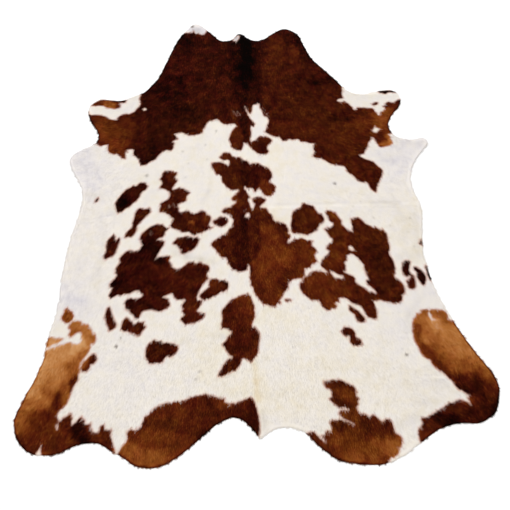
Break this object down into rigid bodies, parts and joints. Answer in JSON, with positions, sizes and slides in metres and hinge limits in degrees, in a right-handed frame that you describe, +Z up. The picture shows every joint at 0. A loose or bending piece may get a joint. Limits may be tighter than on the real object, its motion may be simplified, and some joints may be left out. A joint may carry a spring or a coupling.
{
  "type": "cowhide rug",
  "caption": "Hair-on cowhide floor rug lying flat: one whole hide with neck, four leg stubs and belly edges, white coat with brown patches.",
  "frame": {"origin": "middle of the hide's box, on the ground under it", "axes": "+Z up out of the hair side, +Y along the spine toward the neck, +X across the hide"},
  "size_m": [1.9612, 2.3544, 0.0125],
  "materials": {
    "coat": "short smooth hair lying flat, cream white with chocolate and ginger patches",
    "flesh_side": "brushed suede underside and cut edge"
  },
  "bodies": {
    "root": {"hide": "coat"}
  },
  "joints": []
}
